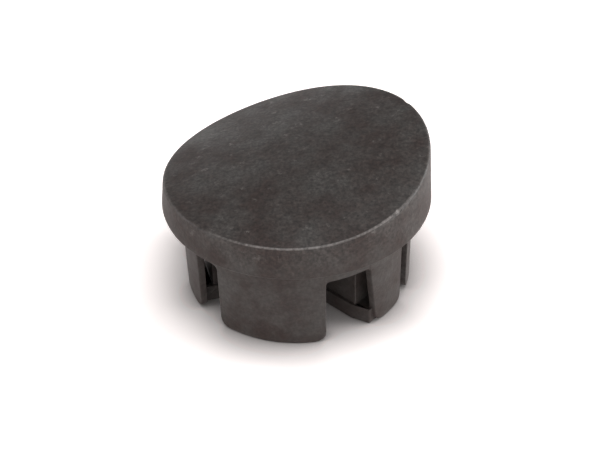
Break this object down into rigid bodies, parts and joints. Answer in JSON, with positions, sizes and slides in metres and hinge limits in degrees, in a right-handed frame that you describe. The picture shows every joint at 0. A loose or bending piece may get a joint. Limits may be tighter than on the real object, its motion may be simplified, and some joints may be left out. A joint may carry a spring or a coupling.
{
  "type": "hole plug",
  "caption": "Snap-in hole plug of dark moulded plastic: a round head with a curved, sloping top that sits flush in a tube, on a short shank of stiff legs and snap fingers.",
  "frame": {"origin": "centre of the plane that the legs' feet stand in, on the plug's axis", "axes": "+Z along the plug's axis from the feet to the head; +X to the right in the picture and +Y away from its camera"},
  "size_m": [0.018, 0.018, 0.0109],
  "materials": {
    "body": "matt, with a fine mould grain"
  },
  "bodies": {
    "root": {"hole_plug": "body"}
  },
  "joints": []
}
